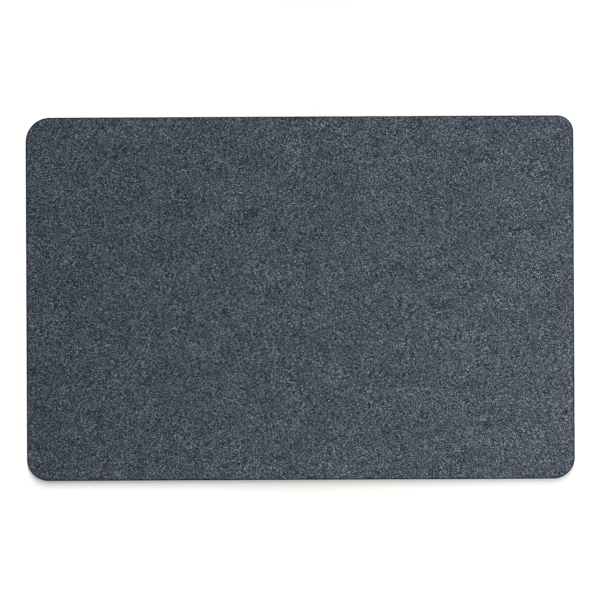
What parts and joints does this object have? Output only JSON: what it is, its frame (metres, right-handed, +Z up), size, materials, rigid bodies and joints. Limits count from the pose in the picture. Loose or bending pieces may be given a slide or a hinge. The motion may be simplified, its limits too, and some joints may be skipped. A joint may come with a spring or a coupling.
{
  "type": "desk mat",
  "caption": "Flat rectangular felt desk mat with rounded corners, bonded to a thin anti-slip backing, to lie under a keyboard, mouse or writing paper.",
  "frame": {"origin": "centre of the footprint, on the flat surface that the mat lies on", "axes": "+X along the long side, +Y across the mat away from the user, +Z up out of the felt face"},
  "size_m": [0.6, 0.398, 0.004],
  "materials": {
    "felt": "heathered charcoal and blue-grey needle felt, matte and slightly fuzzy",
    "adhesive": "milky hot-melt film, seen only as a fine line at the cut edge",
    "backing": "matte near-black soft rubber with a fine embossed grip pattern underneath"
  },
  "bodies": {
    "root": {"felt_top": "felt", "adhesive_film": "adhesive", "anti_slip_backing": "backing"}
  },
  "joints": []
}
